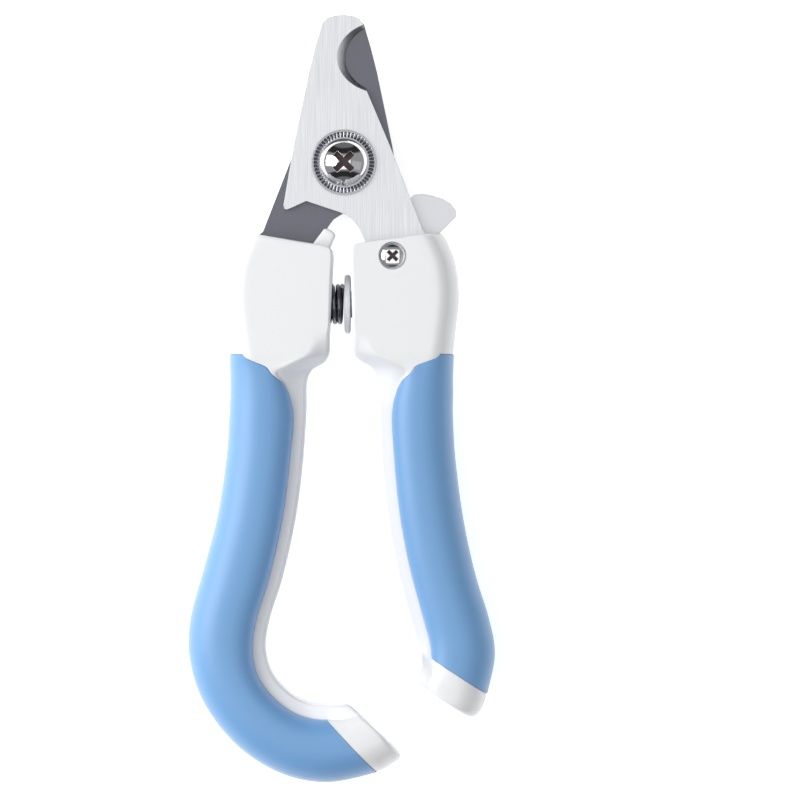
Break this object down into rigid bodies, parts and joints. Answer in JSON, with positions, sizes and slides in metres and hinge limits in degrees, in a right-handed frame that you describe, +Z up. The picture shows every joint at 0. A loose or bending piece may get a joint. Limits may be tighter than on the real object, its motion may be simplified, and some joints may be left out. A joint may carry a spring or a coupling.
{
  "type": "pet nail clipper",
  "caption": "Plier-type pet nail clipper with crossed notched blades on a pivot screw, split shell handles with soft grips, coil spring and thumb lock lever",
  "frame": {"origin": "centre of the bounding box's base, on the flat backs of the two handle heads", "axes": "+X towards the thumb lock side, +Y towards the blade tips, +Z up from the surface it lies on"},
  "size_m": [0.0614, 0.1535, 0.016],
  "materials": {
    "blade_front": "brushed",
    "blade_back": "satin",
    "chrome_hardware": "polished",
    "steel_hardware": "satin",
    "spring_wire": "satin",
    "lever": "satin",
    "cup": "satin",
    "shell": "gloss",
    "grip": "matte"
  },
  "bodies": {
    "right_half": {"front_blade": "blade_front", "pivot_screw": "chrome_hardware", "pivot_collar": "steel_hardware", "back_washer": "steel_hardware", "pivot_nut": "steel_hardware", "right_shell_front": "shell", "right_shell_back": "shell", "right_grip": "grip", "spring_cup": "cup", "spring": "spring_wire", "lock_screw": "chrome_hardware"},
    "left_half": {"back_blade": "blade_back", "left_shell_front": "shell", "left_shell_back": "shell", "left_grip": "grip", "tang_screw": "chrome_hardware"},
    "lock": {"lock_lever": "lever"}
  },
  "joints": [
    {"name": "handle_pivot", "type": "hinge", "parent": "right_half", "child": "left_half", "pos_m": [0.0004, 0.0473, 0.008], "axis": [0, 0, 1], "range_deg": [-20, 3], "stiffness_Nm_per_rad": 0.7, "springref_deg": -25.21, "deforming": ["spring"]},
    {"name": "lock_turn", "type": "hinge", "parent": "right_half", "child": "lock", "pos_m": [0.01013, 0.02849, 0.007], "axis": [0, 0, 1], "range_deg": [0, 6]}
  ]
}
